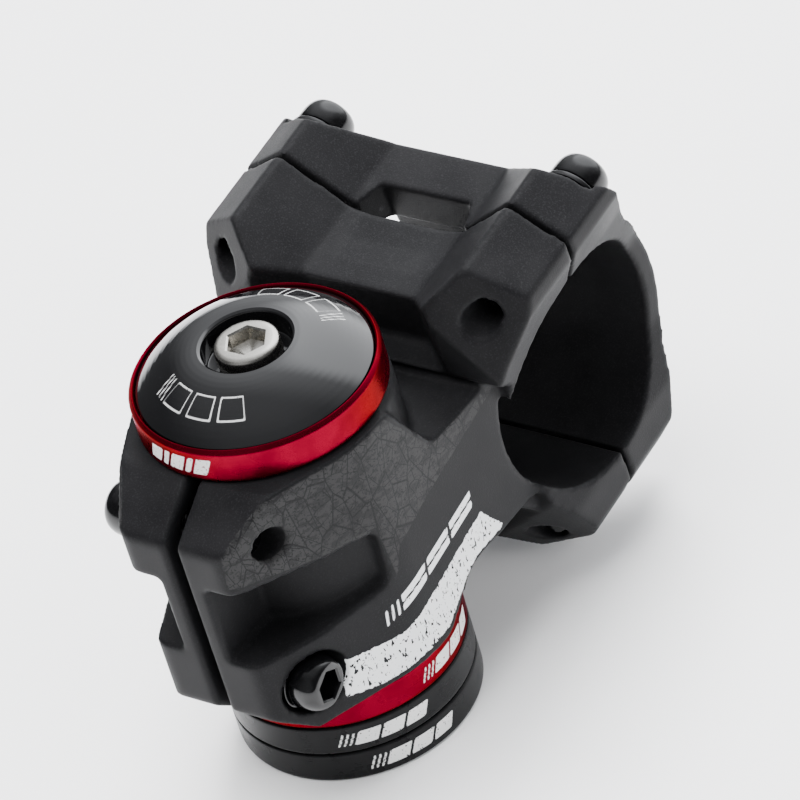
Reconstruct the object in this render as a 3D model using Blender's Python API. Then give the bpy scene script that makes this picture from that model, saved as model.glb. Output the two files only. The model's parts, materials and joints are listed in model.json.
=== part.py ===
"""Short-reach threadless bicycle stem: body, faceplate, bolts, top cap, star nut and spacers.

Lengths are millimetres in this file and metres in the scene. +X points forward to the handlebar, +Y to
the rider's left, and +Z up along the steerer axis. The origin is on the steerer axis, at the bottom face
of the lowest spacer.
"""
import math

import bmesh
import bpy
from mathutils import Matrix, Vector

MM = 0.001
GAP = 0.3                     # clearance between pieces that touch

# Steerer clamp
STEERER_R = 14.3              # half of the 28.6 mm steerer
SPACER_H = 5.0
SPACER_R = 17.7
SPACER_BORE_R = 14.6
CLAMP_LOW = 3 * SPACER_H
CLAMP_TOP = CLAMP_LOW + 40.0  # standard 40 mm stack
FLANK_R = 18.6                # flat-sided outer form
COLLAR_R = 17.7
FOOT_R = 18.3                 # round foot around the lower end of the clamp
TUBE_R = 16.3                 # tube wall seen in the side pockets
REAR_X = -25.5
REAR_HALF_Y = 8.6
EAR_EDGE = 2.8                # rounding of the ears' outer rear edges
SLOT_W = 1.9
STRIP_HALF_Y = 3.9            # web left beside the slot, between the ears

# Side pockets
POCKET_FRONT_X = -5.3
POCKET_LOW_Z = 30.0

# Arm
ARM_LOW_Z = 21.5
ARM_TOP_Z = 44.6
ARM_HALF_Y = 19.9
ARM_END_X = 26.0

# Handlebar clamp, laid out in its own frame: y across, h up from the bar axis, u towards the front
BAR_R = 17.5                  # 35 mm handlebar
BAR_X = 39.4
BAR_Z = 33.4
RISE = math.radians(6.0)
WALL_R = 21.3                 # round rear wall
PART_U = 0.2                  # centre of the gap between body and faceplate
PART_GAP = 0.6
REAR_U = -15.3                # rear face of the clamp below its upper bosses
BOSS_REAR_U = -18.2           # deepest point of the upper bosses
UPPER_FACE = ((19.1, 30.8, -12.65), (0.604, 0.523, -1))     # point on a boss's rear face and its normal
LOWER_FACE = ((15.9, -22.8, -12.7), (0.4, -0.48, -1))
FRONT_R = 20.8                # round front of the faceplate
RIDGE = (19.1, 30.8)          # (y, h) of the upper boss ridge
VALLEY = (9.4, 23.3)          # (y, h) where the ridge meets the flat between the upper bosses
LOW_RIDGE = (12.3, -28.4)     # inner and outer corners of the lower boss
LOW_CORNER = (20.6, -25.9)
LOW_VALLEY = (8.4, -23.5)
CLAMP_HALF_Y = 27.2
WINDOW_U = 4.9                # front of the top window in the faceplate

# Fasteners
M5_R = 2.2                    # root of the thread
M5_HOLE_R = 2.5
HEAD_R = 4.0
HEAD_H = 4.2
HEX_R = 2.31                  # 4 mm socket, centre to corner
ROUND_STEPS = 60
SMALL_STEPS = 24
SEAT_R = 5.0
WASHER_T = 0.8
UPPER_BOLT = (21.3, 23.8)     # (y, h)
LOWER_BOLT = (15.5, -23.2)
FACE_SEAT_U = 9.0
FACE_BOLT_LEN = 20.0
PINCH_X = -18.7
PINCH_Z = {"upper": 47.8, "lower": 22.6}
PINCH_SIDE = {"upper": 1, "lower": -1}
PINCH_SEAT_Y = 8.3
PINCH_SEAT_R = 4.7
PINCH_BOLT_LEN = 17.0

# Top cap
RING_H = 5.3
RING_LOW = CLAMP_TOP + GAP
RING_TOP = RING_LOW + RING_H
RING_R = 17.5
DOME_R = 16.4
DOME_TOP = RING_TOP + 4.6
RECESS_R = 6.3
PRELOAD_HEAD_R = 4.6
PRELOAD_LEN = 36.0

# Star nut
STAR_TOP = 41.0
STAR_LEN = 13.0
STAR_R = 12.4

WORLD = Matrix.Identity(4)
SIDEWAYS = Matrix(((1, 0, 0, 0), (0, 0, 1, 0), (0, 1, 0, 0), (0, 0, 0, 1)))      # (x, z) drawn, y along
FORWARD = Vector((math.cos(RISE), 0, math.sin(RISE)))
UPWARD = Vector((-math.sin(RISE), 0, math.cos(RISE)))


def clamp_frame():
    """Frame with its origin on the bar axis: first axis across (y), second up (h), third forward (u)."""
    across = Vector((0, 1, 0))
    columns = (across, UPWARD, FORWARD, Vector((BAR_X, 0, BAR_Z)))
    frame = Matrix.Identity(4)
    for column, vector in enumerate(columns):
        for row in range(3):
            frame[row][column] = vector[row]
    return frame


CLAMP = clamp_frame()
CLAMP_SIDE = CLAMP @ Matrix(((0, 0, 1, 0), (0, 1, 0, 0), (1, 0, 0, 0), (0, 0, 0, 1)))   # (u, h) drawn
CLAMP_ABOVE = CLAMP @ Matrix(((1, 0, 0, 0), (0, 0, 1, 0), (0, 1, 0, 0), (0, 0, 0, 1)))  # (y, u) drawn


def clear_scene():
    for old in list(bpy.data.objects):
        bpy.data.objects.remove(old, do_unlink=True)


def make_material(name, colour, roughness, metallic):
    material = bpy.data.materials.new(name)
    material.use_nodes = True
    shader = material.node_tree.nodes["Principled BSDF"]
    shader.inputs["Base Color"].default_value = (*colour, 1)
    shader.inputs["Roughness"].default_value = roughness
    shader.inputs["Metallic"].default_value = metallic
    return material


def add_mesh(name, points, faces, frame, origin=(0, 0, 0)):
    """Closed mesh from points in millimetres, with the object's origin at a place of its own."""
    shape = bmesh.new()
    shift = Vector(origin)
    corners = [shape.verts.new((frame @ Vector(point) - shift) * MM) for point in points]
    for face in faces:
        shape.faces.new([corners[index] for index in face])
    bmesh.ops.recalc_face_normals(shape, faces=shape.faces)
    mesh = bpy.data.meshes.new(name)
    shape.to_mesh(mesh)
    shape.free()
    mesh.shade_smooth()
    mesh.set_sharp_from_angle(angle=math.radians(32))
    result = bpy.data.objects.new(name, mesh)
    result.location = shift * MM
    bpy.context.collection.objects.link(result)
    return result


def prism(name, outline, low, high, frame=WORLD, origin=(0, 0, 0)):
    """Outline drawn on a frame's first two axes, extruded along the third."""
    count = len(outline)
    points = [(a, b, low) for a, b in outline] + [(a, b, high) for a, b in outline]
    faces = [tuple(range(count)), tuple(range(count, 2 * count))]
    for index in range(count):
        after = (index + 1) % count
        faces.append((index, after, after + count, index + count))
    return add_mesh(name, points, faces, frame, origin)


def turned(name, profile, steps, frame=WORLD, origin=(0, 0, 0)):
    """Closed (radius, height) outline turned about the frame's third axis; radius 0 makes a pole."""
    points = []
    rings = []
    for radius, height in profile:
        ring = []
        turns = steps if radius > 0 else 1
        for step in range(turns):
            angle = 2 * math.pi * step / steps
            ring.append(len(points))
            points.append((radius * math.cos(angle), radius * math.sin(angle), height))
        rings.append(ring)
    faces = []
    for index, ring in enumerate(rings):
        other = rings[(index + 1) % len(rings)]
        for step in range(steps):
            corners = [ring[step % len(ring)], ring[(step + 1) % len(ring)]]
            corners += [other[(step + 1) % len(other)], other[step % len(other)]]
            corners = list(dict.fromkeys(corners))
            if len(corners) > 2:
                faces.append(corners)
    return add_mesh(name, points, faces, frame, origin)


def rounded(corners, steps=3):
    """Outline whose corners (a, b, radius) are rounded with arcs."""
    outline = []
    count = len(corners)
    for index, (a, b, radius) in enumerate(corners):
        here = Vector((a, b))
        back = (Vector(corners[index - 1][:2]) - here).normalized()
        ahead = (Vector(corners[(index + 1) % count][:2]) - here).normalized()
        half = back.angle(ahead) / 2
        if radius == 0 or half > math.radians(89):
            outline.append((a, b))
            continue
        middle = here + (back + ahead).normalized() * radius / math.sin(half)
        reach = radius / math.tan(half)
        first = here + back * reach - middle
        last = here + ahead * reach - middle
        sweep = first.angle_signed(last)
        for step in range(steps + 1):
            spoke = first.copy()
            spoke.rotate(Matrix.Rotation(-sweep * step / steps, 2))
            outline.append(tuple(middle + spoke))
    return outline


def mirrored(half):
    """Whole outline from its y > 0 half, listed from the top centre line to the bottom one."""
    return half + [(-y, *rest) for y, *rest in reversed(half) if y > 0]


def combine(target, tool, operation):
    """Boolean of a finished tool shape into its target."""
    modifier = target.modifiers.new(tool.name, "BOOLEAN")
    modifier.operation = operation
    modifier.object = tool
    modifier.solver = "EXACT"
    tool.hide_render = True
    tool.display_type = "WIRE"


def cylinder(name, radius, low, high, frame, place, steps=28):
    """Plain cutter cylinder along a frame's third axis, centred at place on its first two."""
    centre = Matrix.Translation((place[0], place[1], 0))
    return turned(name, [(0, low), (radius, low), (radius, high), (0, high)], steps, frame @ centre)


def flank_outline():
    """Plan view of the flat-sided form: rear face, tangent sides, steerer arc, arm."""
    reach = math.hypot(REAR_X, REAR_HALF_Y)
    tangent = math.atan2(REAR_HALF_Y, REAR_X) - math.acos(FLANK_R / reach)
    half = [(REAR_X, REAR_HALF_Y, EAR_EDGE)]
    for step in range(7):
        angle = tangent + (math.pi / 2 - tangent) * step / 6
        half.append((FLANK_R * math.cos(angle), FLANK_R * math.sin(angle), 0))
    half.append((ARM_END_X, ARM_HALF_Y, 0))
    return rounded(half + [(x, -y, edge) for x, y, edge in reversed(half)], 4)


def flank_side():
    """Side view of the flat-sided form: ears behind, collar above, arm in front."""
    return rounded([
        (REAR_X, 20.2, 1.5), (REAR_X + 5.6, CLAMP_LOW, 1.5), (2.0, CLAMP_LOW, 5), (9.0, ARM_LOW_Z, 6),
        (ARM_END_X, ARM_LOW_Z, 0), (ARM_END_X, ARM_TOP_Z, 0), (8.6, ARM_TOP_Z, 2), (2.6, CLAMP_TOP, 2),
        (-17.4, CLAMP_TOP, 2), (REAR_X, 49.8, 1.5)])


def clamp_outline():
    """Front view of the bar clamp: four bosses, narrower between them and at the bottom."""
    half = [
        (0, VALLEY[1], 0), (*VALLEY, 1.5), (*RIDGE, 1.0), (CLAMP_HALF_Y, 25.5, 0.8), (CLAMP_HALF_Y, 22.8, 1.5),
        (24.3, 16.5, 4), (20.8, 6.0, 8), (20.8, -9.0, 8), (22.6, -17.0, 4), (22.6, -22.8, 1.5),
        (*LOW_CORNER, 1.5), (*LOW_RIDGE, 1.5), (*LOW_VALLEY, 1.5), (0, LOW_VALLEY[1], 0)]
    return rounded(mirrored(half))


def make_body(material):
    body = prism("stem_body", flank_outline(), CLAMP_LOW, CLAMP_TOP)
    body.data.materials.append(material)
    side = prism("cut_flank_side", flank_side(), -30, 30, SIDEWAYS)
    combine(body, side, "INTERSECT")
    low = CLAMP_LOW
    tube_profile = [
        (0, low), (FOOT_R - 0.5, low), (FOOT_R, low + 0.5), (FOOT_R, low + 7), (COLLAR_R, low + 12),
        (COLLAR_R, CLAMP_TOP - 0.8), (COLLAR_R - 0.8, CLAMP_TOP), (0, CLAMP_TOP)]
    combine(body, turned("add_tube", tube_profile, ROUND_STEPS), "UNION")
    combine(body, rear_clamp_half(), "UNION")
    combine(body, turned("cut_steerer", bore_profile(), ROUND_STEPS), "DIFFERENCE")
    combine(body, cylinder("cut_bar", BAR_R + 0.05, -30, 30, CLAMP_SIDE, (0, 0), 80), "DIFFERENCE")
    slot = [(-40, -SLOT_W / 2), (-10, -SLOT_W / 2), (-10, SLOT_W / 2), (-40, SLOT_W / 2)]
    combine(body, prism("cut_slot", slot, 0, 70), "DIFFERENCE")
    for side_name, sign in (("left", 1), ("right", -1)):
        combine(body, side_pocket(side_name, sign), "DIFFERENCE")
    cut_body_holes(body)
    return body


def bore_profile():
    """Steerer bore with a small chamfer at each mouth."""
    low = CLAMP_LOW
    flare = STEERER_R + 0.6
    return [
        (0, low - 2), (flare + 1.4, low - 2), (flare, low), (STEERER_R, low + 0.6),
        (STEERER_R, CLAMP_TOP - 0.6), (flare, CLAMP_TOP), (flare + 1.4, CLAMP_TOP + 2), (0, CLAMP_TOP + 2)]


def rear_clamp_half():
    """Rear half of the bar clamp with its four bosses and its round wall."""
    half = prism("add_clamp", clamp_outline(), BOSS_REAR_U, PART_U - PART_GAP / 2, CLAMP)
    for name, sign in (("left", 1), ("right", -1)):
        combine(half, boss_face("cut_upper_" + name, UPPER_FACE, sign), "DIFFERENCE")
        combine(half, boss_face("cut_lower_" + name, LOWER_FACE, sign), "DIFFERENCE")
    under = [(-18.5, 15.0), (REAR_U, 11.6), (REAR_U, -40), (-40, -40), (-40, 15.0)]
    combine(half, prism("cut_under_bosses", under, -40, 40, CLAMP_SIDE), "DIFFERENCE")
    wall = cylinder("add_wall", WALL_R, -18.4, 18.4, CLAMP_SIDE, (0, 0), 80)
    rear = prism("cut_wall", [(0, -30), (30, -30), (30, 30), (0, 30)], -40, 40, CLAMP_SIDE)
    combine(wall, rear, "DIFFERENCE")
    combine(half, wall, "UNION")
    notch = [(-9.2, -13.4), (9.2, -13.4), (15.4, -18.6), (15.4, -40), (-15.4, -40), (-15.4, -18.6)]
    combine(half, prism("cut_between_bosses", notch, 14.5, 40, CLAMP_ABOVE), "DIFFERENCE")
    lip = [(PART_U - 1.4, VALLEY[1] + 0.5), (2, VALLEY[1] + 0.5), (2, VALLEY[1] - 2.4)]
    combine(half, prism("cut_window_lip", lip, -6.7, 6.7, CLAMP_SIDE), "DIFFERENCE")
    return half


def boss_face(name, face, sign):
    """Block whose lower side is the slanted rear face of one boss."""
    (y, h, u), (across, up, forward) = face
    normal = (CLAMP.to_3x3() @ Vector((sign * across, up, forward))).normalized()
    turn = normal.to_track_quat("Z", "Y").to_matrix().to_4x4()
    frame = Matrix.Translation(CLAMP @ Vector((sign * y, h, u))) @ turn
    return prism(name, [(-22, -22), (22, -22), (22, 22), (-22, 22)], 0, 30, frame)


def side_pocket(side_name, sign):
    """Pocket between the upper and lower ear, down to the tube wall and the web beside the slot."""
    outline = rounded([
        (-40, POCKET_LOW_Z + 0.6, 0), (-16, POCKET_LOW_Z - 0.3, 0), (POCKET_FRONT_X, 31.2, 2.2),
        (POCKET_FRONT_X, 40.2, 1.6), (-13, 40.9, 0), (-40, 45.4, 0)])
    near, far = sorted((sign * STRIP_HALF_Y, sign * 40))
    pocket = prism("cut_pocket_" + side_name, outline, near, far, SIDEWAYS)
    core = cylinder("keep_tube_" + side_name, TUBE_R, 0, 70, WORLD, (0, 0), ROUND_STEPS)
    combine(pocket, core, "DIFFERENCE")
    return pocket


def seat_cutter(name, frame, place, low, seat, high, radius=SEAT_R):
    """Bolt hole that opens into a round seat for the head."""
    profile = [(0, low), (M5_HOLE_R, low), (M5_HOLE_R, seat), (radius, seat), (radius, high), (0, high)]
    centre = Matrix.Translation((place[0], place[1], 0))
    return turned(name, profile, SMALL_STEPS + 4, frame @ centre)


def cut_body_holes(body):
    for name, place in face_bolt_places().items():
        combine(body, cylinder("cut_thread_" + name, M5_HOLE_R, -40, 5, CLAMP, place), "DIFFERENCE")
    for name, height in PINCH_Z.items():
        turn = SIDEWAYS @ Matrix.Diagonal((1, 1, PINCH_SIDE[name], 1))
        place = (PINCH_X, height)
        tool = seat_cutter("cut_pinch_" + name, turn, place, -30, PINCH_SEAT_Y, 30, PINCH_SEAT_R)
        combine(body, tool, "DIFFERENCE")


def face_bolt_places():
    """Name of each faceplate bolt with its place (y, h) on the clamp."""
    places = {}
    for level, (y, h) in (("upper", UPPER_BOLT), ("lower", LOWER_BOLT)):
        for side_name, sign in (("left", 1), ("right", -1)):
            places[level + "_" + side_name] = (sign * y, h)
    return places


def make_faceplate(material):
    start = PART_U + PART_GAP / 2
    plate = prism("faceplate", clamp_outline(), start, 30, CLAMP)
    plate.data.materials.append(material)
    round_front = []
    for step in range(13):
        angle = math.radians(38) * (1 - step / 6)
        round_front.append((FRONT_R * math.cos(angle), FRONT_R * math.sin(angle), 0))
    corners = [(0, 40, 0), (0.9, 40, 0), (12.4, 23.3, 4)] + round_front
    corners += [(12.4, -22.3, 4), (1.8, -38, 0), (0, -40, 0)]
    front = prism("cut_front", rounded(corners), -40, 40, CLAMP_SIDE)
    combine(plate, front, "INTERSECT")
    combine(plate, cylinder("cut_plate_bar", BAR_R + 0.05, -30, 30, CLAMP_SIDE, (0, 0), 80), "DIFFERENCE")
    window = [(-9.2, 0), (9.2, 0), (7.5, WINDOW_U), (-7.5, WINDOW_U)]
    combine(plate, prism("cut_window", window, 10, 40, CLAMP_ABOVE), "DIFFERENCE")
    for name, place in face_bolt_places().items():
        tool = seat_cutter("cut_hole_" + name, CLAMP, place, -5, FACE_SEAT_U, 40)
        combine(plate, tool, "DIFFERENCE")
    return plate


def bolt(name, frame, place, seat, length, material):
    """M5 bolt with a domed head and a hex socket, head towards the frame's third axis."""
    low = seat - length
    base = seat + WASHER_T + 2 * GAP
    shoulder = base + HEAD_H * 0.42
    top = base + HEAD_H
    profile = [(0, low), (M5_R - 0.5, low), (M5_R, low + 0.6), (M5_R, base), (HEAD_R - 0.3, base),
               (HEAD_R, base + 0.3), (HEAD_R, shoulder)]
    for angle in (25, 50, 72):
        tilt = math.radians(angle)
        rise = (top - shoulder) * math.sin(tilt)
        profile.append((HEX_R + 0.3 + (HEAD_R - HEX_R - 0.3) * math.cos(tilt), shoulder + rise))
    profile.append((0, top))
    centre = frame @ Matrix.Translation((place[0], place[1], 0))
    origin = centre @ Vector((0, 0, base))
    result = turned(name, profile, SMALL_STEPS, centre, origin)
    result.data.materials.append(material)
    combine(result, hex_socket(name, HEX_R, top - 2.6, top + 1, centre), "DIFFERENCE")
    return result


def hex_socket(name, radius, low, high, frame):
    profile = [(0, low), (radius, low), (radius, high), (0, high)]
    return turned("cut_hex_" + name, profile, 6, frame)


def washer(name, frame, place, seat, material):
    low = seat + GAP
    high = low + WASHER_T
    inner = M5_R + GAP
    outer = HEAD_R + 0.25
    profile = [(inner, low), (outer, low), (outer, high - 0.2), (outer - 0.2, high), (inner, high)]
    centre = frame @ Matrix.Translation((place[0], place[1], 0))
    origin = centre @ Vector((0, 0, low))
    result = turned(name, profile, SMALL_STEPS, centre, origin)
    result.data.materials.append(material)


def make_face_bolts(bolt_material, washer_material):
    for name, place in face_bolt_places().items():
        bolt("face_bolt_" + name, CLAMP, place, FACE_SEAT_U, FACE_BOLT_LEN, bolt_material)
        washer("face_washer_" + name, CLAMP, place, FACE_SEAT_U, washer_material)


def make_pinch_bolts(bolt_material, washer_material):
    for name, height in PINCH_Z.items():
        turn = SIDEWAYS @ Matrix.Diagonal((1, 1, PINCH_SIDE[name], 1))
        place = (PINCH_X, height)
        bolt("pinch_bolt_" + name, turn, place, PINCH_SEAT_Y, PINCH_BOLT_LEN, bolt_material)
        washer("pinch_washer_" + name, turn, place, PINCH_SEAT_Y, washer_material)


def make_cap_ring(material):
    """Coloured ring that holds the domed cap, chamfered at its rim."""
    profile = [
        (STEERER_R + 0.4, RING_LOW), (RING_R - 0.5, RING_LOW), (RING_R - 0.1, RING_LOW + 0.4),
        (RING_R, RING_TOP - 0.7), (RING_R - 0.35, RING_TOP - 0.1), (RING_R - 0.75, RING_TOP),
        (DOME_R + GAP, RING_TOP - 0.5), (DOME_R + GAP, RING_LOW + 1.6), (STEERER_R + 0.4, RING_LOW + 1.6)]
    turned("top_cap_ring", profile, ROUND_STEPS).data.materials.append(material)


def make_cap_dome(material):
    """Crowned cap with a recess for the preload bolt and a spigot inside the ring."""
    low = RING_LOW + 1.6 + GAP
    rim = RING_TOP - 0.2
    profile = [(PRELOAD_HEAD_R - 1.2, low - 1.2), (13.6, low - 1.2), (13.6, low), (DOME_R, low), (DOME_R, rim)]
    for step in range(1, 6):
        radius = DOME_R - (DOME_R - RECESS_R - 0.3) * step / 5
        profile.append((radius, rim + crown(radius) - crown(DOME_R)))
    floor = DOME_TOP - 3.4
    profile += [
        (RECESS_R, DOME_TOP - 0.35), (RECESS_R - 0.2, floor), (PRELOAD_HEAD_R - 1.2, floor)]
    turned("top_cap_dome", profile, ROUND_STEPS).data.materials.append(material)


def crown(radius):
    """Height of the cap's crown at a radius, from its rim's plane."""
    share = (radius - RECESS_R) / (DOME_R - RECESS_R)
    return (DOME_TOP - RING_TOP) * (1 - share ** 1.9)


def make_preload_bolt(material):
    """M6 bolt with a low cylindrical head and a 5 mm hex socket."""
    base = DOME_TOP - 3.4 + GAP
    top = base + 2.9
    low = base - PRELOAD_LEN
    shank = 2.85
    profile = [
        (0, low), (shank - 0.6, low), (shank, low + 0.7), (shank, base), (PRELOAD_HEAD_R - 0.2, base),
        (PRELOAD_HEAD_R, base + 0.2), (PRELOAD_HEAD_R, top - 0.5), (PRELOAD_HEAD_R - 0.5, top), (0, top)]
    result = turned("preload_bolt", profile, 36, WORLD, (0, 0, base))
    result.data.materials.append(material)
    combine(result, hex_socket("preload", 2.89, top - 2.2, top + 1, WORLD), "DIFFERENCE")


def make_star_nut(core_material, spring_material):
    """Threaded core with two toothed springs that grip inside the steerer."""
    bore = 2.85 + GAP
    low = STAR_TOP - STAR_LEN
    profile = [
        (bore, low), (4.4, low), (4.8, low + 0.4), (4.8, STAR_TOP - 0.4), (4.4, STAR_TOP), (bore, STAR_TOP)]
    turned("star_nut_core", profile, 32).data.materials.append(core_material)
    for name, height in (("upper", STAR_TOP - 2.6), ("lower", low + 1.4)):
        star_spring(name, height, spring_material)


def star_spring(name, height, material):
    """Dished spring disc with eight fingers."""
    inner = 4.8 + GAP
    lift = 2.2
    profile = [
        (inner, height), (7.5, height), (STAR_R, height + lift), (STAR_R - 0.3, height + lift + 0.6),
        (7.3, height + 0.7), (inner, height + 0.7)]
    disc = turned("star_spring_" + name, profile, 32)
    disc.data.materials.append(material)
    for tooth in range(4):
        outline = [(7.9, -0.9), (16, -2.4), (16, 2.4), (7.9, 0.9)]
        turn = Matrix.Rotation(math.pi / 2 * tooth + math.pi / 4, 4, "Z")
        gap = prism("cut_%s_tooth_%d" % (name, tooth), outline, height - 2, height + 6, turn)
        combine(disc, gap, "DIFFERENCE")


def make_spacers(materials):
    """Three spacers on the steerer, listed from the bottom up."""
    names = ("spacer_black_lower", "spacer_black_upper", "spacer_red")
    for level, name in enumerate(names):
        low = level * SPACER_H
        high = low + SPACER_H - GAP
        soft = 0.35
        profile = [
            (SPACER_BORE_R, low), (SPACER_R - soft, low), (SPACER_R, low + soft), (SPACER_R, high - soft),
            (SPACER_R - soft, high), (SPACER_BORE_R, high)]
        turned(name, profile, ROUND_STEPS).data.materials.append(materials[level])


def main():
    clear_scene()
    anodised = make_material("black_anodised", (0.022, 0.022, 0.024), 0.45, 0.6)
    plate_black = make_material("faceplate_black", (0.024, 0.024, 0.026), 0.45, 0.6)
    gloss = make_material("gloss_black", (0.008, 0.008, 0.009), 0.08, 0.0)
    red = make_material("red_anodised", (0.45, 0.005, 0.02), 0.25, 0.9)
    bolt_black = make_material("black_steel", (0.01, 0.01, 0.011), 0.15, 0.8)
    silver = make_material("silver_steel", (0.62, 0.6, 0.57), 0.22, 1.0)
    spacer_black = make_material("spacer_black", (0.015, 0.015, 0.017), 0.3, 0.7)
    zinc = make_material("zinc_steel", (0.5, 0.5, 0.48), 0.35, 1.0)
    make_body(anodised)
    make_faceplate(plate_black)
    make_face_bolts(bolt_black, bolt_black)
    make_pinch_bolts(bolt_black, bolt_black)
    make_cap_ring(red)
    make_cap_dome(gloss)
    make_preload_bolt(silver)
    make_star_nut(zinc, zinc)
    make_spacers((spacer_black, spacer_black, red))


main()
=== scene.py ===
"""Looks of the handlebar stem: satin black clamp, gloss cap in a red ring, spacers and fasteners."""

import json
import math

import bmesh
import bpy
import numpy as np
from mathutils import Matrix, Vector


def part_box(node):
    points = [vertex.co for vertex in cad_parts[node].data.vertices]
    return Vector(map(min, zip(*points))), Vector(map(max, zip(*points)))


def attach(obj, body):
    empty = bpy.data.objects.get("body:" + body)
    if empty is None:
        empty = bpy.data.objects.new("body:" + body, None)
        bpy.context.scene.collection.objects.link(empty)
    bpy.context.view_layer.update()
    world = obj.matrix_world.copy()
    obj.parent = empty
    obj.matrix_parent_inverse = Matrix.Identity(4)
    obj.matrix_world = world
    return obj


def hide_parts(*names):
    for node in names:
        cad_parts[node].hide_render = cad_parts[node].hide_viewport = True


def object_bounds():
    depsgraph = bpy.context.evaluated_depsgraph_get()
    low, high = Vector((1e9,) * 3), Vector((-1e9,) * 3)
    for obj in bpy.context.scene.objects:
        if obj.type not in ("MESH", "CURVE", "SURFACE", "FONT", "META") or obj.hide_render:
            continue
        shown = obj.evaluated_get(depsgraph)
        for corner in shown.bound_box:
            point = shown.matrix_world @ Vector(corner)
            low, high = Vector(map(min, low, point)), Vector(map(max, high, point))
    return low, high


MM = 0.001                      # one millimetre in Blender's units

# All lengths below are in millimetres and all angles in degrees

# Points around the round pieces
CAP_POINTS = 288
WASHER_POINTS = 64
BOLT_POINTS = 48

# Fasteners, drawn from their seats upward along each joint's axis
THREAD = {"m5": (2.38, 2.05, 0.8), "m6": (2.84, 2.4, 1.0)}     # crest, root, pitch
HEX_FLAT = {"m5": 2.0, "m6": 2.5}                              # half of the key size
HEAD_GAP = 1.4                  # seat to underside of a head: washer and clearances
HEAD_HEIGHT = 4.2
HEAD_R = 4.0
FACE_LENGTH = 20.0
PINCH_LENGTH = 17.0
WASHER = ((2.5, 0.3, 0.08), (4.25, 0.3, 0.1), (4.25, 1.1, 0.2), (2.5, 1.1, 0.12))     # radius, height, edge

# Cap: radii of the hole, the skirt and the bolt's recess, and the hollow's and the recess's heights
CAP_HOLE_R = 3.4
CAP_SKIRT_R = 13.6
CAP_SKIRT = 1.2
RECESS_R = 6.3
RECESS_DEPTH = 3.4
CROWN_POWER = 1.9
CROWN_STEPS = 12

# Ring under the cap, and spacers
RING_HOLE_R = 14.7
RING_WEB = 1.6
SPACER_HOLE_R = 14.6

# Surface relief of the body
VOXEL = {"stem_body": 0.44, "faceplate": 0.36}
SMOOTH_PASSES = 4

# Bar clamp: where the bar's axis crosses the (x, z) plane, and the stem's rise
BAR_AXIS = (39.4, 33.4)
RISE = math.radians(6)

# Dished panel behind the window: half widths at the bar's axis with their slopes, and the stretches
# over which it fades in, forward of and above the bar's axis
CREASE = {"depth": 0.4, "outer": (9.3, 0.13), "inner": (7.1, 0.11), "fade": (-9.5, -5.0),
          "above": (21.0, 21.8)}
CREASE_END = 0.5

# Body's half width along x: straight rear, round middle, straight arm
FLANK_R = 18.6
ARM_END = 26.0
FLANK_ROUND = [(x, math.sqrt(FLANK_R ** 2 - x ** 2)) for x in (-7.9, -5.6, -3.0, 0.0)]
FLANK = [(-25.5, 8.6), *FLANK_ROUND, (ARM_END, 19.9)]
PRINT_DEPTH = 0.75              # the flank's graphics reach this far in from its half width

# Graphics on the flanks, as (x, z) outlines
PANEL = [(-25.2, 44.3), (-13.0, 41.4), (-5.2, 40.6), (-4.4, 31.2), (-2.6, 35.4), (6.0, 38.4), (14.0, 40.6),
         (22.0, 42.8), (22.0, 43.9), (8.2, 44.3), (1.6, 54.6), (-18.0, 54.6), (-22.9, 51.9), (-25.1, 49.6)]
SPECKLE = [(-15.9, 17.4), (-14.6, 23.3), (-6.0, 22.1), (-2.0, 23.1), (13.5, 27.8), (17.2, 22.3),
           (10.4, 22.1), (7.4, 20.7), (4.2, 18.3), (1.8, 16.6), (-10.0, 16.0)]

# Row of slanted bars on the flanks: its line, and each bar's width; long bars are split along their length
BAR_LINE = ((-7.9, 24.6), (13.4, 30.0))
BAR_HEIGHT = 2.7
BAR_LEAN = (0.1, 0.995)
BAR_WIDTHS = (0.45, 0.45, 0.45, 5.6, 5.6, 5.6)
BAR_GAP = 0.55
BAR_SPLIT = ((0, 0.42), (0.58, 1))

# Slanted bars around the spacers and the ring
BAND_WIDTHS = (0.35, 0.35, 0.35, 3.3, 3.3, 3.3)
RING_WIDTHS = (2.2, 0.9, 2.2, 0.9, 2.2)
BAND_GAP = 0.45
BAND_LEAN = 0.45                # sideways shift of a bar's top, as a share of its height

# Curved outlines on the cap: inner and outer radius, line width, and angles of each group
CAP_BAND = (10.4, 13.6)
CAP_LINE = 0.25
CAP_GROUPS = (170, 345)
CAP_SLASHES = (-29, -26, -23)
CAP_FRAMES = (-9, 12, 33)
CAP_FRAME_HALF = 8

FAR = 9.0                       # limit of the stored distances to an outline

# View
AZIMUTH = 43.938
ELEVATION = 38.463
ROLL = math.radians(-17.173)
PLACE = (-0.44362, -0.45146, 0.55014)       # in metres
LENS = 270

# Sky: azimuth, elevation, outer and inner angle of each glow, strength
SKY_BASE = 0.12
SKY = ((2, 32, 37, 24, 2.6), (6, 30, 62, 20, 1.2), (40, 80, 60, 10, 0.6), (185, 20, 40, 10, 0.3))

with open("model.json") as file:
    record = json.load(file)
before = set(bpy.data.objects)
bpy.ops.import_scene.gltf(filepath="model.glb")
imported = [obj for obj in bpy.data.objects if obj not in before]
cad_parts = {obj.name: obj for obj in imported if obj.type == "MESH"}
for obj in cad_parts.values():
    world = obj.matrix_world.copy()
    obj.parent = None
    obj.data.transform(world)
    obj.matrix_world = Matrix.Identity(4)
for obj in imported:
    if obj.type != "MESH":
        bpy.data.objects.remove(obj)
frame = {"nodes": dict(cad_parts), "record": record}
START_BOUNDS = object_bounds()
JOINTS = {joint["name"]: joint for joint in frame["record"]["behaviour"]["joints"]}


# ---------------------------------------------------------------- materials

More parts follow.
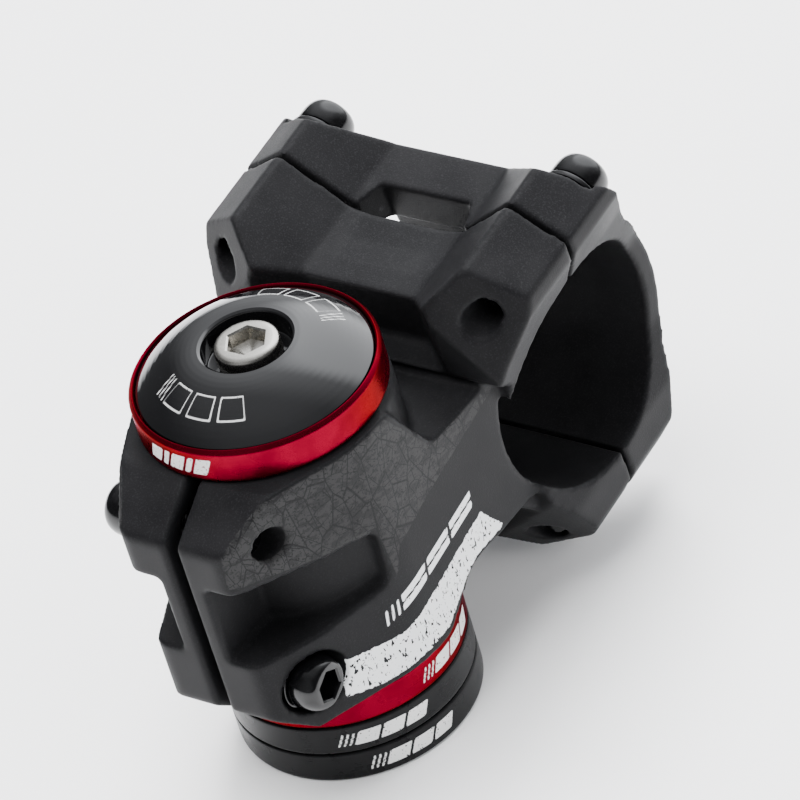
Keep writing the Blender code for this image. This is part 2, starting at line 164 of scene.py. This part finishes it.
class Finish:
    """A node material under construction, with coordinates in millimetres on the piece."""

    def __init__(self, name, colour, roughness, metallic=0.0, level=0.5):
        self.material = bpy.data.materials.new(name)
        self.material.use_nodes = True
        self.tree = self.material.node_tree
        self.shader = self.tree.nodes["Principled BSDF"]
        self.set("Base Color", (*colour, 1))
        self.set("Roughness", roughness)
        self.set("Metallic", metallic)
        self.set("Specular IOR Level", level)
        place = self.node("ShaderNodeTexCoord")
        self.where = self.node("ShaderNodeVectorMath", {0: place.outputs["Object"], "Scale": 1 / MM},
                               operation="SCALE").outputs[0]

    def node(self, kind, values=None, **settings):
        """Add a node; each value is a number or another node's output."""
        made = self.tree.nodes.new(kind)
        for key, value in settings.items():
            setattr(made, key, value)
        for key, value in (values or {}).items():
            if isinstance(value, bpy.types.NodeSocket):
                self.tree.links.new(value, made.inputs[key])
            else:
                made.inputs[key].default_value = value
        return made

    def set(self, name, value):
        """Give the surface shader a value or a link."""
        if isinstance(value, bpy.types.NodeSocket):
            self.tree.links.new(value, self.shader.inputs[name])
        else:
            self.shader.inputs[name].default_value = value

    def stretched(self, stretch):
        return self.node("ShaderNodeVectorMath", {0: self.where, 1: stretch}, operation="MULTIPLY").outputs[0]

    def noise(self, scale, detail=2.0, stretch=(1, 1, 1), rough=0.5):
        values = {"Vector": self.stretched(stretch), "Scale": scale, "Detail": detail, "Roughness": rough}
        return self.node("ShaderNodeTexNoise", values).outputs[0]

    def cracks(self, scale, stretch=(1, 1, 1)):
        """Distance to the nearest edge between random cells."""
        values = {"Vector": self.stretched(stretch), "Scale": scale}
        return self.node("ShaderNodeTexVoronoi", values, feature="DISTANCE_TO_EDGE").outputs[0]

    def span(self, value, low, high, start=0.0, end=1.0):
        """Map the range from low to high onto start to end, held at both ends."""
        values = {"Value": value, "From Min": low, "From Max": high, "To Min": start, "To Max": end}
        return self.node("ShaderNodeMapRange", values, clamp=True).outputs[0]

    def combine(self, operation, first, second):
        """One step of arithmetic between two values."""
        return self.node("ShaderNodeMath", {0: first, 1: second}, operation=operation).outputs[0]

    def mix(self, share, first, second):
        """Blend two colours."""
        made = self.node("ShaderNodeMix", data_type="RGBA")
        for index, value in ((0, share), (6, first), (7, second)):
            if isinstance(value, bpy.types.NodeSocket):
                self.tree.links.new(value, made.inputs[index])
            else:
                made.inputs[index].default_value = (*value, 1) if index else value
        return made.outputs[2]

    def attribute(self, name):
        """Value stored on the mesh by paint()."""
        return self.node("ShaderNodeAttribute", attribute_name=name).outputs["Fac"]

    def bump(self, height, distance, strength=0.5, under=None):
        """Fine relief, on top of another bump where one is given."""
        values = {"Height": height, "Distance": distance * MM, "Strength": strength}
        if under is not None:
            values["Normal"] = under
        normal = self.node("ShaderNodeBump", values).outputs[0]
        self.set("Normal", normal)
        return normal


def anodised_black(name, graphics):
    """Satin black with a fine blasted grain; the body's flanks also carry worn printed areas."""
    made = Finish(name, (0.01, 0.01, 0.011), 0.42, 0.0, 0.1)
    grain = made.noise(4.2, 3.0)
    patches = made.noise(0.12, 4.0)
    colour = made.mix(made.span(patches, 0.35, 0.65), (0.006, 0.006, 0.0066), (0.0088, 0.0088, 0.0095))
    colour = made.mix(made.span(grain, 0.52, 0.75, 0.0, 0.5), colour, (0.024, 0.024, 0.026))
    edge = made.node("ShaderNodeNewGeometry").outputs["Pointiness"]
    worn = made.combine("MULTIPLY", made.span(edge, 0.55, 0.66), made.span(made.noise(0.7, 5.0), 0.42, 0.62))
    colour = made.mix(made.combine("MULTIPLY", worn, 0.4), colour, (0.06, 0.06, 0.064))
    rough = made.combine("ADD", made.span(patches, 0.3, 0.7, 0.4, 0.5), made.span(grain, 0.3, 0.7, 0.0, 0.1))
    if graphics:
        colour, rough = printed(made, colour, rough)
    made.set("Base Color", colour)
    made.set("Roughness", rough)
    fine = made.bump(made.noise(2.4, 2.0), 0.012, 0.35)
    made.bump(grain, 0.03, 0.75, fine)
    return made.material


def printed(made, colour, rough):
    """Grey crackled panel, white speckled panel and plain bars over the black."""
    colour = made.mix(made.combine("MULTIPLY", crackle(made), 0.8), colour, (0.03, 0.03, 0.03))
    bars = made.combine("MULTIPLY", made.span(made.attribute("bars"), -0.03, 0.05),
                        made.span(made.noise(2.6, 4.0), 0.3, 0.34))
    white = made.combine("MAXIMUM", speckle(made), bars)
    colour = made.mix(white, colour, (0.8, 0.81, 0.82))
    return colour, made.combine("ADD", rough, made.combine("MULTIPLY", white, 0.1))


def crackle(made):
    """Share of print left on the grey panel, broken by cracks, chips and specks."""
    ragged = made.combine("MULTIPLY", made.combine("SUBTRACT", made.noise(1.1, 4.0), 0.5), 0.5)
    inside = made.span(made.combine("ADD", made.attribute("panel"), ragged), -0.05, 0.1)
    cracks = made.combine("MINIMUM", made.cracks(0.42), made.cracks(0.3, (1.0, 1.0, 0.45)))
    lines = made.span(cracks, 0.01, 0.03)
    chips = made.span(made.noise(0.55, 6.0, (1.0, 1.0, 1.9), 0.62), 0.5, 0.58, 1.0, 0.0)
    specks = made.span(made.noise(3.2, 2.0), 0.34, 0.44)
    broken = made.combine("MULTIPLY", lines, specks)
    share = made.combine("MULTIPLY", broken, made.combine("MAXIMUM", chips, 0.45))
    return made.combine("MULTIPLY", share, inside)


def speckle(made):
    """Share of white left on the speckled panel, with a torn edge and dark flecks."""
    torn = made.combine("MULTIPLY", made.combine("SUBTRACT", made.noise(1.4, 4.0), 0.5), 0.7)
    inside = made.span(made.combine("ADD", made.attribute("speckle"), torn), 0.0, 0.1)
    flecks = made.span(made.noise(1.25, 2.5, (1.5, 1.5, 0.75), 0.55), 0.6, 0.615, 1.0, 0.0)
    dust = made.span(made.noise(3.0, 2.0), 0.68, 0.7, 1.0, 0.0)
    return made.combine("MULTIPLY", inside, made.combine("MULTIPLY", flecks, dust))


def gloss_black():
    """Lacquered cap with fine silver lines."""
    made = Finish("gloss_black_look", (0.003, 0.003, 0.0034), 0.06, 0.0, 0.5)
    lines = made.span(made.attribute("marks"), -0.03, 0.05)
    lines = made.combine("MULTIPLY", lines, made.span(made.noise(4.0, 3.0), 0.3, 0.36))
    made.set("Base Color", made.mix(lines, (0.003, 0.003, 0.0034), (0.4, 0.4, 0.4)))
    smear = made.noise(0.35, 5.0, (1, 1, 1), 0.6)
    smooth = made.span(smear, 0.4, 0.7, 0.05, 0.11)
    made.set("Roughness", made.combine("ADD", smooth, made.combine("MULTIPLY", lines, 0.25)))
    made.set("Coat Weight", 0.3)
    made.set("Coat Roughness", 0.03)
    made.bump(made.noise(0.5, 3.0), 0.01, 0.15)
    return made.material


def turned_metal(name, colour, dark, roughness, metallic, level=0.5):
    """Turned and anodised ring: fine tool lines around the axis, white marks where stated."""
    made = Finish(name, colour, roughness, metallic, level)
    lines = made.noise(3.0, 4.0, (0.02, 0.02, 2.2))
    patches = made.noise(0.3, 4.0)
    base = made.mix(made.span(patches, 0.35, 0.7), colour, dark)
    marks = made.span(made.attribute("marks"), -0.03, 0.05)
    marks = made.combine("MULTIPLY", marks, made.span(made.noise(2.8, 4.0), 0.33, 0.38))
    made.set("Base Color", made.mix(marks, base, (0.75, 0.75, 0.74)))
    made.set("Metallic", made.combine("MULTIPLY", made.combine("SUBTRACT", 1.0, marks), metallic))
    spread = made.span(patches, 0.3, 0.7, roughness - 0.04, roughness + 0.06)
    turned_rough = made.combine("ADD", spread, made.combine("MULTIPLY", lines, 0.06))
    made.set("Roughness", made.combine("ADD", turned_rough, made.combine("MULTIPLY", marks, 0.25)))
    if metallic > 0:
        made.set("Specular Tint", (0.4, 0.004, 0.11, 1))
    made.bump(lines, 0.008, 0.35)
    return made.material


def plated_steel(name, colour, roughness, metallic, coat=0.0, level=0.5):
    """Bolt or nut surface with small scuffs."""
    made = Finish(name, colour, roughness, metallic, level)
    scuffs = made.noise(1.6, 6.0, (1, 1, 1), 0.65)
    fine = made.noise(7.0, 2.0)
    lighter = tuple(min(1.0, 1.5 * part + 0.006) for part in colour)
    made.set("Base Color", made.mix(made.span(scuffs, 0.55, 0.75, 0.0, 0.6), colour, lighter))
    spread = made.span(scuffs, 0.35, 0.7, roughness - 0.03, roughness + 0.1)
    made.set("Roughness", made.combine("ADD", spread, made.span(fine, 0.3, 0.7, 0.0, 0.04)))
    made.set("Coat Weight", coat)
    made.bump(scuffs, 0.012, 0.25)
    return made.material


# ---------------------------------------------------------------- meshes

def hand_over(piece, body, slot, material, *nodes):
    """Give a finished piece its material, hide the CAD nodes it replaces and attach it to its body."""
    piece.data.materials.clear()
    piece.data.materials.append(material)
    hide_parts(*nodes)
    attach(piece, body)


def box_mm(node):
    """Lowest and highest corner of a CAD node, in millimetres."""
    return [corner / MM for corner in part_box(node)]


def from_rings(name, rings, close_ends, place):
    """Smooth mesh from rings of equal length, either closed at its ends or joined last ring to first."""
    count = len(rings[0])
    points = np.concatenate(rings)
    around = np.arange(count)
    after = (around + 1) % count
    faces = []
    for level in range(len(rings) - 1 if close_ends else len(rings)):
        here = level * count
        above = ((level + 1) % len(rings)) * count
        faces += np.stack([here + around, here + after, above + after, above + around], 1).tolist()
    if close_ends:
        faces.append([int(index) for index in around[::-1]])
        faces.append([int((len(rings) - 1) * count + index) for index in around])
    mesh = bpy.data.meshes.new(name)
    world = (np.array(place.to_3x3()) @ points.T).T + np.array(place.translation)
    mesh.from_pydata((world * MM).tolist(), [], faces)
    shape = bmesh.new()
    shape.from_mesh(mesh)
    bmesh.ops.recalc_face_normals(shape, faces=shape.faces)
    shape.to_mesh(mesh)
    shape.free()
    mesh.shade_smooth()
    mesh.set_sharp_from_angle(angle=math.radians(38))
    made = bpy.data.objects.new(name, mesh)
    bpy.context.scene.collection.objects.link(made)
    return made


def circle(radius, height, count=BOLT_POINTS):
    """Ring of points about the third axis."""
    angle = 2 * np.pi * np.arange(count) / count
    return np.stack([radius * np.cos(angle), radius * np.sin(angle), np.full(count, height)], 1)


def hexagon(flat, height, count=BOLT_POINTS):
    """Ring of points along a hexagon, given from its middle to a flat."""
    angle = 2 * np.pi * np.arange(count) / count
    turn = (angle + np.pi / 6) % (np.pi / 3) - np.pi / 6
    radius = flat / np.cos(turn)
    return np.stack([radius * np.cos(angle), radius * np.sin(angle), np.full(count, height)], 1)


def thread(size, low, high, count=BOLT_POINTS):
    """Rings of a right-handed thread between two heights, its start tapered."""
    crest, root, pitch = THREAD[size]
    rings = []
    angle = 2 * np.pi * np.arange(count) / count
    steps = int((high - low) / pitch * 6)
    for step in range(steps + 1):
        height = low + (high - low) * step / steps
        phase = (height / pitch - angle / (2 * np.pi)) % 1.0
        radius = root + (crest - root) * np.clip(1.35 - 2.7 * np.abs(phase - 0.5), 0, 1)
        radius = np.minimum(radius, root - 0.35 + 0.9 * (height - low))
        rings.append(np.stack([radius * np.cos(angle), radius * np.sin(angle), np.full(count, height)], 1))
    return rings


def soft_profile(corners, most, steps=4):
    """Closed (radius, height, edge) profile: corners rounded by their edge, points at most so far apart."""
    path = []
    count = len(corners)
    for index, (a, b, edge) in enumerate(corners):
        here = Vector((a, b))
        back = Vector(corners[index - 1][:2]) - here
        ahead = Vector(corners[(index + 1) % count][:2]) - here
        if edge == 0:
            path.append(here)
            continue
        first = here + back.normalized() * edge
        last = here + ahead.normalized() * edge
        for step in range(steps + 1):
            share = step / steps
            path.append(first * (1 - share) ** 2 + here * 2 * share * (1 - share) + last * share ** 2)
    points = []
    for index, here in enumerate(path):
        ahead = path[(index + 1) % len(path)]
        pieces = max(1, math.ceil((ahead - here).length / most))
        points += [tuple(here.lerp(ahead, part / pieces)) for part in range(pieces)]
    return points


def turned(name, corners, count, most=0.35, place=Matrix.Identity(4)):
    """Ring-shaped piece from a closed profile about the place's third axis."""
    rings = [circle(radius, height, count) for radius, height in soft_profile(corners, most)]
    return from_rings(name, rings, False, place)


def axis_place(joint):
    """Frame on a joint's axis, in millimetres: origin at the joint, third axis along it."""
    data = JOINTS[joint]
    turn = Vector(data["axis"]).to_track_quat("Z", "Y").to_matrix().to_4x4()
    return Matrix.Translation(Vector(data["pos_m"]) / MM) @ turn


def outline_distance(points, outline):
    """Signed distance from points to an outline, positive inside."""
    corners = np.array(outline, float)
    after = np.roll(corners, -1, 0)
    best = np.full(len(points), 1e9)
    inside = np.zeros(len(points), bool)
    for start, end in zip(corners, after):
        side = end - start
        share = np.clip(((points - start) @ side) / (side @ side), 0, 1)
        best = np.minimum(best, np.linalg.norm(points - start - share[:, None] * side, axis=1))
        crosses = (start[1] > points[:, 1]) != (end[1] > points[:, 1])
        rise = end[1] - start[1] if end[1] != start[1] else 1e-9
        inside ^= crosses & (points[:, 0] < start[0] + (points[:, 1] - start[1]) / rise * side[0])
    return np.where(inside, best, -best)


def paint(piece, name, points, outlines, allowed=None):
    """Store how far each vertex lies inside the nearest outline, in millimetres."""
    value = np.full(len(points), -FAR)
    for outline in outlines:
        value = np.maximum(value, outline_distance(points, outline))
    if allowed is not None:
        value = np.minimum(value, allowed)
    made = piece.data.attributes.new(name, "FLOAT", "POINT")
    made.data.foreach_set("value", np.clip(value, -FAR, FAR).astype(np.float32))


def vertices(piece):
    """Places of a piece's vertices as an (n, 3) array in millimetres."""
    place = np.zeros(len(piece.data.vertices) * 3, np.float32)
    piece.data.vertices.foreach_get("co", place)
    return place.reshape(-1, 3).astype(float) / MM


# ---------------------------------------------------------------- body and faceplate

def eased(node, name):
    """Copy of a machined piece with its sharp edges eased, kept inside the piece's own box."""
    made = bpy.data.objects.new(name, frame["nodes"][node].data.copy())
    bpy.context.scene.collection.objects.link(made)
    shape = bmesh.new()
    shape.from_mesh(made.data)
    bmesh.ops.remove_doubles(shape, verts=shape.verts, dist=0.002 * MM)
    shape.to_mesh(made.data)
    shape.free()
    remesh = made.modifiers.new("Remesh", "REMESH")
    remesh.mode = "VOXEL"
    remesh.voxel_size = VOXEL[node] * MM
    smooth = made.modifiers.new("Smooth", "SMOOTH")
    smooth.factor = 0.5
    smooth.iterations = SMOOTH_PASSES
    graph = bpy.context.evaluated_depsgraph_get()
    finished = bpy.data.meshes.new_from_object(made.evaluated_get(graph))
    made.modifiers.clear()
    made.data = finished
    keep_in_box(finished, node)
    finished.shade_smooth()
    return made


def keep_in_box(mesh, node):
    low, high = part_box(node)
    place = np.zeros(len(mesh.vertices) * 3, np.float32)
    mesh.vertices.foreach_get("co", place)
    place = np.clip(place.reshape(-1, 3), np.array(low), np.array(high))
    mesh.vertices.foreach_set("co", place.ravel().astype(np.float32))
    mesh.update()


def slanted_bars():
    """Row of plain slanted bars: thin slashes, then long bars split along their length."""
    start, end = (Vector(corner) for corner in BAR_LINE)
    along = (end - start).normalized()
    lean = Vector(BAR_LEAN) * BAR_HEIGHT
    used = 0.0
    outlines = []
    for width in BAR_WIDTHS:
        first = start + along * used
        last = first + along * width
        for low, high in BAR_SPLIT if width > 1 else ((0, 1),):
            corners = (first + lean * low, last + lean * low, last + lean * high, first + lean * high)
            outlines.append([tuple(corner) for corner in corners])
        used += width + BAR_GAP
    return outlines


def ramp(value, start, end):
    """Rise from 0 at the start to 1 at the end."""
    return np.clip((value - start) / (end - start), 0, 1)


def crease_valley(piece):
    """Shallow dished panel behind the window, bounded by a crease on each side."""
    place = vertices(piece)
    x = place[:, 0] - BAR_AXIS[0]
    z = place[:, 2] - BAR_AXIS[1]
    forward = x * math.cos(RISE) + z * math.sin(RISE)
    above = z * math.cos(RISE) - x * math.sin(RISE)
    outer, inner = (width + slope * forward for width, slope in (CREASE["outer"], CREASE["inner"]))
    share = ramp(np.abs(place[:, 1]), outer, inner) * ramp(forward, *CREASE["fade"])
    share *= ramp(above, *CREASE["above"]) * (forward < CREASE_END)
    drop = share[:, None] * CREASE["depth"] * np.array([-math.sin(RISE), 0, math.cos(RISE)])
    piece.data.vertices.foreach_set("co", ((place - drop) * MM).ravel().astype(np.float32))
    piece.data.update()


def body_piece(material):
    """Body with the graphics of both flanks stored on its vertices."""
    made = eased("stem_body", "stem_body_surface")
    crease_valley(made)
    place = vertices(made)
    depth = np.interp(place[:, 0], *zip(*FLANK)) - np.abs(place[:, 1])
    allowed = np.where(place[:, 0] < ARM_END, (PRINT_DEPTH - depth) * 2, -FAR)
    across = place[:, [0, 2]]
    paint(made, "panel", across, [PANEL], allowed)
    paint(made, "speckle", across, [SPECKLE], allowed)
    paint(made, "bars", across, slanted_bars(), allowed)
    hand_over(made, "stem", "black_anodised", material, "stem_body")


def plate_piece(material):
    made = eased("faceplate", "faceplate_surface")
    hand_over(made, "faceplate", "black_anodised", material, "faceplate")


# ---------------------------------------------------------------- cap and spacers

def arc_outline(middle, half, low, high, lean=0.0, steps=8):
    """Band between two radii, centred at an angle, as a flat outline; its outer side may lean on."""
    outer = [(middle - half + 2 * half * step / steps + lean, high) for step in range(steps + 1)]
    inner = [(middle + half - 2 * half * step / steps, low) for step in range(steps + 1)]
    return [(r * math.cos(math.radians(a)), r * math.sin(math.radians(a))) for a, r in outer + inner]


def cap_marks():
    """Two groups of plain curved outlines on the cap: three slashes and three frames each."""
    low, high = CAP_BAND
    groups = []
    for middle in CAP_GROUPS:
        groups += [arc_outline(middle + angle, 0.6, low, high, 3) for angle in CAP_SLASHES]
        for angle in CAP_FRAMES:
            here = middle + angle
            for inner in (low, high - CAP_LINE):
                groups.append(arc_outline(here, CAP_FRAME_HALF, inner, inner + CAP_LINE))
            for side in (here - CAP_FRAME_HALF, here + CAP_FRAME_HALF):
                groups.append(arc_outline(side, 0.5, low, high))
    return groups


def dome_piece(material):
    """Domed cap with a stepped rim and a recess for the bolt."""
    low, high = box_mm("top_cap_dome")
    rim = high.x
    skirt = low.z + CAP_SKIRT
    shoulder = box_mm("top_cap_ring")[1].z - 0.35
    outer = rim - 0.25
    inner = RECESS_R + 0.45
    crown = []
    for step in range(CROWN_STEPS + 1):
        radius = outer - (outer - inner) * step / CROWN_STEPS
        share = (radius - RECESS_R) / (rim - RECESS_R)
        crown.append((radius, shoulder + (high.z - shoulder - 0.02) * (1 - share ** CROWN_POWER) * 0.995, 0))
    corners = [
        (CAP_HOLE_R, low.z, 0.15), (CAP_SKIRT_R, low.z, 0.15), (CAP_SKIRT_R, skirt, 0), (rim, skirt, 0.2),
        (rim, shoulder, 0), *crown, (RECESS_R, high.z - 0.35, 0.18),
        (RECESS_R - 0.2, high.z - RECESS_DEPTH, 0.2), (CAP_HOLE_R, high.z - RECESS_DEPTH, 0)]
    made = turned("cap_dome_surface", corners, CAP_POINTS, 0.22)
    place = vertices(made)
    paint(made, "marks", place[:, :2], cap_marks(), np.where(place[:, 2] > shoulder, FAR, -FAR))
    hand_over(made, "top_cap", "gloss_black", material, "top_cap_dome")


def around_marks(middle, radius, low, high, widths):
    """Slanted bars on a round wall, as (arc length, height) outlines that start at an angle."""
    start = math.radians(middle) * radius
    outlines = []
    used = 0.0
    lean = (high - low) * BAND_LEAN
    for width in widths:
        first = start + used
        last = first + width
        outlines.append([(first, low), (last, low), (last + lean, high), (first + lean, high)])
        used += width + BAND_GAP
    return outlines


def wall_paint(piece, radius, outlines):
    """Store the marks on a round piece's outer wall."""
    place = vertices(piece)
    angle = np.arctan2(place[:, 1], place[:, 0]) % (2 * np.pi)
    outer = np.hypot(place[:, 0], place[:, 1])
    allowed = np.where(outer > radius - 0.45, FAR, -FAR)
    paint(piece, "marks", np.stack([angle * radius, place[:, 2]], 1), outlines, allowed)


def ring_piece(material):
    """Red ring: a wall around the dome over a thin web."""
    low, high = box_mm("top_cap_ring")
    outer = high.x
    hole = box_mm("top_cap_dome")[1].x + 0.3
    corners = [
        (RING_HOLE_R, low.z, 0.2), (outer, low.z, 0.45), (outer, high.z - 0.65, 0.2),
        (outer - 0.55, high.z, 0.15), (hole, high.z - 0.3, 0.1), (hole, low.z + RING_WEB, 0.1),
        (RING_HOLE_R, low.z + RING_WEB, 0.2)]
    made = turned("cap_ring_surface", corners, CAP_POINTS)
    wall_paint(made, outer, around_marks(156, outer, low.z + 1.1, high.z - 1.5, RING_WIDTHS))
    hand_over(made, "top_cap", "red_anodised", material, "top_cap_ring")


def spacer_piece(node, material, slot, marks_at):
    """Plain spacer with one row of bars on its wall."""
    low, high = box_mm(node)
    outer = high.x
    hole = SPACER_HOLE_R
    corners = [(hole, low.z, 0.15), (outer, low.z, 0.4), (outer, high.z, 0.4), (hole, high.z, 0.15)]
    made = turned(node + "_surface", corners, CAP_POINTS)
    wall_paint(made, outer, around_marks(marks_at, outer, low.z + 1.2, high.z - 1.2, BAND_WIDTHS))
    hand_over(made, node, slot, material, node)


# ---------------------------------------------------------------- fasteners

def socket_rings(size, top, depth):
    """Rings from the socket's mouth to the middle of its floor."""
    flat = HEX_FLAT[size]
    return [hexagon(flat + 0.22, top), hexagon(flat, top - 0.25), hexagon(flat, top - depth),
            circle(0.3, top - depth - 0.7)]


def domed_bolt(name, joint, length, material):
    """M5 bolt: tapered thread, rounded head, hex socket."""
    top = HEAD_GAP + HEAD_HEIGHT
    shoulder = HEAD_GAP + HEAD_HEIGHT * 0.42
    flat_top = HEX_FLAT["m5"] + 0.75
    rings = thread("m5", -length, HEAD_GAP - 2.6)
    for radius, rise in (
            (2.15, -2.3), (2.15, -0.3), (2.4, 0), (HEAD_R - 0.4, 0), (HEAD_R - 0.1, 0.12), (HEAD_R, 0.4)):
        rings.append(circle(radius, HEAD_GAP + rise))
    for step in range(9):
        tilt = math.pi / 2 * step / 8
        radius = flat_top + (HEAD_R - flat_top) * math.cos(tilt)
        rings.append(circle(radius, shoulder + (top - shoulder) * math.sin(tilt)))
    rings += socket_rings("m5", top, 2.6)
    made = from_rings(name + "_surface", rings, True, axis_place(joint))
    hand_over(made, name, "black_steel", material, name)


def preload_bolt(material):
    """M6 bolt with a low head and a hex socket."""
    low, high = box_mm("preload_bolt")
    top = high.z
    base = top - 2.9
    head = high.x
    rings = thread("m6", low.z, base - 2.0)
    for radius, height in (
            (2.6, base - 1.6), (2.6, base), (head - 0.3, base), (head, base + 0.3), (head, top - 0.7),
            (head - 0.12, top - 0.35), (head - 0.45, top - 0.08), (head - 0.9, top)):
        rings.append(circle(radius, height))
    rings += socket_rings("m6", top, 2.2)
    made = from_rings("preload_bolt_surface", rings, True, Matrix.Identity(4))
    hand_over(made, "preload_bolt", "silver_steel", material, "preload_bolt")


def washer_piece(name, joint, body, material):
    made = turned(name + "_surface", WASHER, WASHER_POINTS, 0.5, axis_place(joint))
    hand_over(made, body, "black_steel", material, name)


def fasteners(steel):
    """Four face bolts and two pinch bolts, each with its washer."""
    for place in ("upper_left", "upper_right", "lower_left", "lower_right"):
        name = "face_bolt_" + place
        domed_bolt(name, name + "_turn", FACE_LENGTH, steel)
        washer_piece("face_washer_" + place, name + "_turn", "faceplate", steel)
    for place in ("upper", "lower"):
        name = "pinch_bolt_" + place
        domed_bolt(name, name + "_turn", PINCH_LENGTH, steel)
        washer_piece("pinch_washer_" + place, name + "_turn", "pinch_washer_" + place, steel)


def star_nut(zinc):
    """The star nut keeps its machined shape."""
    for node in ("star_nut_core", "star_spring_upper", "star_spring_lower"):
        piece = frame["nodes"][node]
        piece.data.materials.clear()
        piece.data.materials.append(zinc)


# ---------------------------------------------------------------- studio

def direction(azimuth, elevation):
    """Unit vector toward a compass angle and a height above the floor."""
    angle, height = math.radians(azimuth), math.radians(elevation)
    return Vector((math.cos(height) * math.cos(angle), math.cos(height) * math.sin(angle), math.sin(height)))


def studio_floor():
    """Pale matt floor just under the lowest spacer."""
    pale = (0.86, 0.86, 0.87)
    made = Finish("floor_look", pale, 0.6, 0.0, 0.2)
    patches = made.noise(0.01, 3.0)
    made.set("Base Color", made.mix(made.span(patches, 0.3, 0.7), pale, (0.88, 0.88, 0.89)))
    made.bump(made.noise(0.8, 3.0), 0.05, 0.1)
    far = 3.0
    level = START_BOUNDS[0].z - 0.2 * MM
    mesh = bpy.data.meshes.new("studio_floor")
    mesh.from_pydata([(-far, -far, level), (far, -far, level), (far, far, level), (-far, far, level)], [],
                     [(0, 1, 2, 3)])
    mesh.materials.append(made.material)
    floor = bpy.data.objects.new("studio_floor", mesh)
    bpy.context.scene.collection.objects.link(floor)


def softbox(name, azimuth, elevation, distance, size, power):
    """Rectangular light aimed at the stem, hidden from its reflections; sizes in metres."""
    data = bpy.data.lights.new(name, "AREA")
    data.shape = "RECTANGLE"
    data.size, data.size_y = size
    data.energy = power
    made = bpy.data.objects.new(name, data)
    away = direction(azimuth, elevation)
    made.location = (START_BOUNDS[0] + START_BOUNDS[1]) / 2 + away * distance
    made.rotation_euler = away.to_track_quat("Z", "Y").to_euler()
    made.visible_glossy = False
    bpy.context.scene.collection.objects.link(made)


def glow(tree, where, under, azimuth, elevation, wide, narrow, power):
    """Soft round glow in the sky, added to the strength under it."""
    toward = tree.nodes.new("ShaderNodeVectorMath")
    toward.operation = "DOT_PRODUCT"
    toward.inputs[1].default_value = direction(azimuth, elevation)
    tree.links.new(where, toward.inputs[0])
    fade = tree.nodes.new("ShaderNodeMapRange")
    fade.interpolation_type = "SMOOTHSTEP"
    fade.inputs["From Min"].default_value = math.cos(math.radians(wide))
    fade.inputs["From Max"].default_value = math.cos(math.radians(narrow))
    fade.inputs["To Max"].default_value = power
    tree.links.new(toward.outputs["Value"], fade.inputs["Value"])
    total = tree.nodes.new("ShaderNodeMath")
    tree.links.new(fade.outputs[0], total.inputs[0])
    tree.links.new(under, total.inputs[1])
    return total.outputs[0]


def lighting():
    """Even studio sky with broad soft glows, and soft boxes for the floor and the shadows."""
    world = bpy.data.worlds.new("studio")
    world.use_nodes = True
    tree = world.node_tree
    sky = tree.nodes["Background"]
    sky.inputs["Color"].default_value = (0.95, 0.97, 1.0, 1)
    where = tree.nodes.new("ShaderNodeTexCoord").outputs["Generated"]
    base = tree.nodes.new("ShaderNodeValue")
    base.outputs[0].default_value = SKY_BASE
    strength = base.outputs[0]
    for values in SKY:
        strength = glow(tree, where, strength, *values)
    tree.links.new(strength, sky.inputs["Strength"])
    bpy.context.scene.world = world
    softbox("key", 20, 50, 0.8, (0.4, 0.5), 16.0)
    softbox("top", 150, 75, 0.9, (0.7, 0.7), 18.0)
    softbox("fill", 262, 35, 1.0, (0.6, 0.4), 6.0)


def camera():
    """Long lens, high behind the stem's right side, slightly rolled."""
    data = bpy.data.cameras.new("photo_view")
    data.lens = LENS
    data.sensor_width = 36
    data.clip_start = 0.01
    ahead = direction(AZIMUTH, -ELEVATION)
    level_right = ahead.cross(Vector((0, 0, 1))).normalized()
    level_up = level_right.cross(ahead)
    right = level_right * math.cos(ROLL) + level_up * math.sin(ROLL)
    up = right.cross(ahead)
    made = bpy.data.objects.new("photo_view", data)
    made.matrix_world = Matrix.Translation(PLACE) @ Matrix((right, up, -ahead)).transposed().to_4x4()
    bpy.context.scene.collection.objects.link(made)
    bpy.context.scene.camera = made


def main():
    red = turned_metal("red_anodised_look", (0.17, 0.0, 0.013), (0.13, 0.0, 0.01), 0.24, 0.92)
    satin = turned_metal("spacer_black_look", (0.005, 0.005, 0.0055), (0.008, 0.008, 0.0085), 0.26, 0.0, 0.12)
    steel = plated_steel("black_steel_look", (0.002, 0.002, 0.0023), 0.1, 0.0, 0.1, 0.38)
    silver = plated_steel("silver_steel_look", (0.6, 0.58, 0.54), 0.22, 1.0)
    zinc = plated_steel("zinc_steel_look", (0.48, 0.48, 0.46), 0.33, 1.0)
    body_piece(anodised_black("black_anodised_look", True))
    plate_piece(anodised_black("faceplate_look", False))
    dome_piece(gloss_black())
    ring_piece(red)
    spacer_piece("spacer_red", red, "red_anodised", 254)
    spacer_piece("spacer_black_upper", satin, "spacer_black", 208)
    spacer_piece("spacer_black_lower", satin, "spacer_black", 219)
    fasteners(steel)
    preload_bolt(silver)
    star_nut(zinc)
    studio_floor()
    lighting()
    camera()


main()
